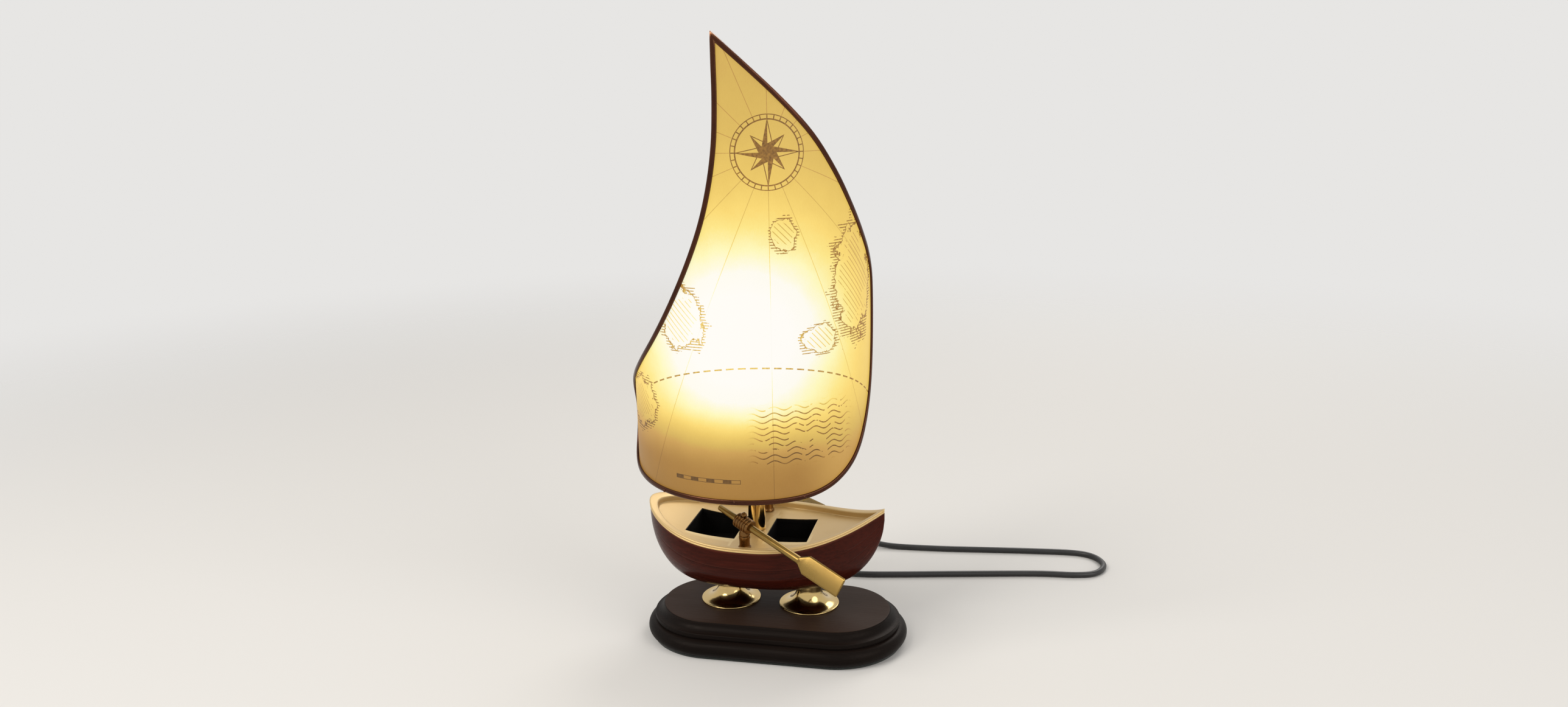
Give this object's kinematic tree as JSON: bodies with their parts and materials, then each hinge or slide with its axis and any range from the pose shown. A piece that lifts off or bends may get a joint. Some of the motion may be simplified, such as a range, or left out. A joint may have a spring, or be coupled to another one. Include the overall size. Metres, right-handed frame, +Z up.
{
  "type": "table lamp",
  "caption": "Table lamp shaped as a sailing boat: a bent translucent sail shades the bulb above a planked hull with brass oars on a wooden plinth.",
  "frame": {"origin": "centre of the plinth's underside, on the surface that the lamp stands on", "axes": "+Z up, +X along the boat to the right as pictured, -Y to the front where the sail bulges"},
  "size_m": [0.3991, 0.3249, 0.4466],
  "materials": {
    "felt": "dense felt",
    "dark_wood": "dark stain under satin varnish",
    "polished_brass": "polished and lacquered",
    "thread_brass": "machined",
    "steel": "zinc plated",
    "lacquered_wood": "glossy red-brown lacquer",
    "gold_paint": "satin champagne gold",
    "black_paint": "matt black",
    "black_plastic": "smooth",
    "porcelain": "unglazed",
    "bulb_metal": "rolled screw cap",
    "opal_glass": "opal",
    "parchment": "translucent parchment, satin",
    "bronze_trim": "dark bronze, glossy",
    "lead_core": "smooth",
    "black_lead": "satin"
  },
  "bodies": {
    "lamp": {"felt_pad": "felt", "plinth": "dark_wood", "pillar_left": "polished_brass", "pillar_right": "polished_brass", "tie_tube_left": "thread_brass", "tie_tube_right": "thread_brass", "tie_nuts": "thread_brass", "tie_washers": "steel", "hull_near": "lacquered_wood", "hull_far": "lacquered_wood", "gunwale_rail": "gold_paint", "deck": "gold_paint", "well_tray_left": "black_paint", "well_tray_right": "black_paint", "stem_tube": "thread_brass", "stem_sleeve": "polished_brass", "stem_nut": "thread_brass", "stem_washer": "steel", "holder_cap": "black_plastic", "holder_shell": "black_plastic", "holder_insert": "porcelain", "holder_thread": "thread_brass", "holder_contact": "thread_brass", "rowlock_near": "polished_brass", "rowlock_far": "polished_brass", "inner_lead": "lead_core", "lead_gland": "black_plastic", "cord_run": "black_lead", "cord_tail": "black_lead", "cord_coil": "black_lead", "cord_end": "black_lead", "switch_bottom": "black_plastic", "switch_top": "black_plastic", "switch_screws": "steel", "plug_body": "black_plastic", "plug_pins": "steel", "plug_relief": "black_plastic"},
    "bulb": {"bulb_cap": "bulb_metal", "bulb_tip": "steel", "bulb_glass": "opal_glass"},
    "sail": {"sail_carrier": "bronze_trim", "sail_sheet": "parchment", "sail_trim": "bronze_trim"},
    "near_oar": {"collar_near": "polished_brass", "oar_near": "polished_brass"},
    "far_oar": {"collar_far": "polished_brass", "oar_far": "polished_brass"},
    "rocker": {"switch_rocker": "black_plastic"}
  },
  "joints": [
    {"name": "sail_turn", "type": "hinge", "parent": "lamp", "child": "sail", "pos_m": [-0.015, 0.005, 0.1375], "axis": [0, 0, 1], "range_deg": [-20, 20]},
    {"name": "bulb_out", "type": "slide", "parent": "lamp", "child": "bulb", "axis": [0, 0, 1], "range_m": [0, 0.06]},
    {"name": "near_oar_swing", "type": "hinge", "parent": "lamp", "child": "near_oar", "pos_m": [-0.015, -0.034, 0.094], "axis": [0, 0, 1], "range_deg": [-30, 5]},
    {"name": "far_oar_swing", "type": "hinge", "parent": "lamp", "child": "far_oar", "pos_m": [-0.015, 0.044, 0.094], "axis": [0, 0, 1], "range_deg": [-5, 30]},
    {"name": "switch_rock", "type": "hinge", "parent": "lamp", "child": "rocker", "pos_m": [-0.005, 0.18, 0.013], "axis": [0, 1, 0], "range_deg": [0, 16]}
  ]
}
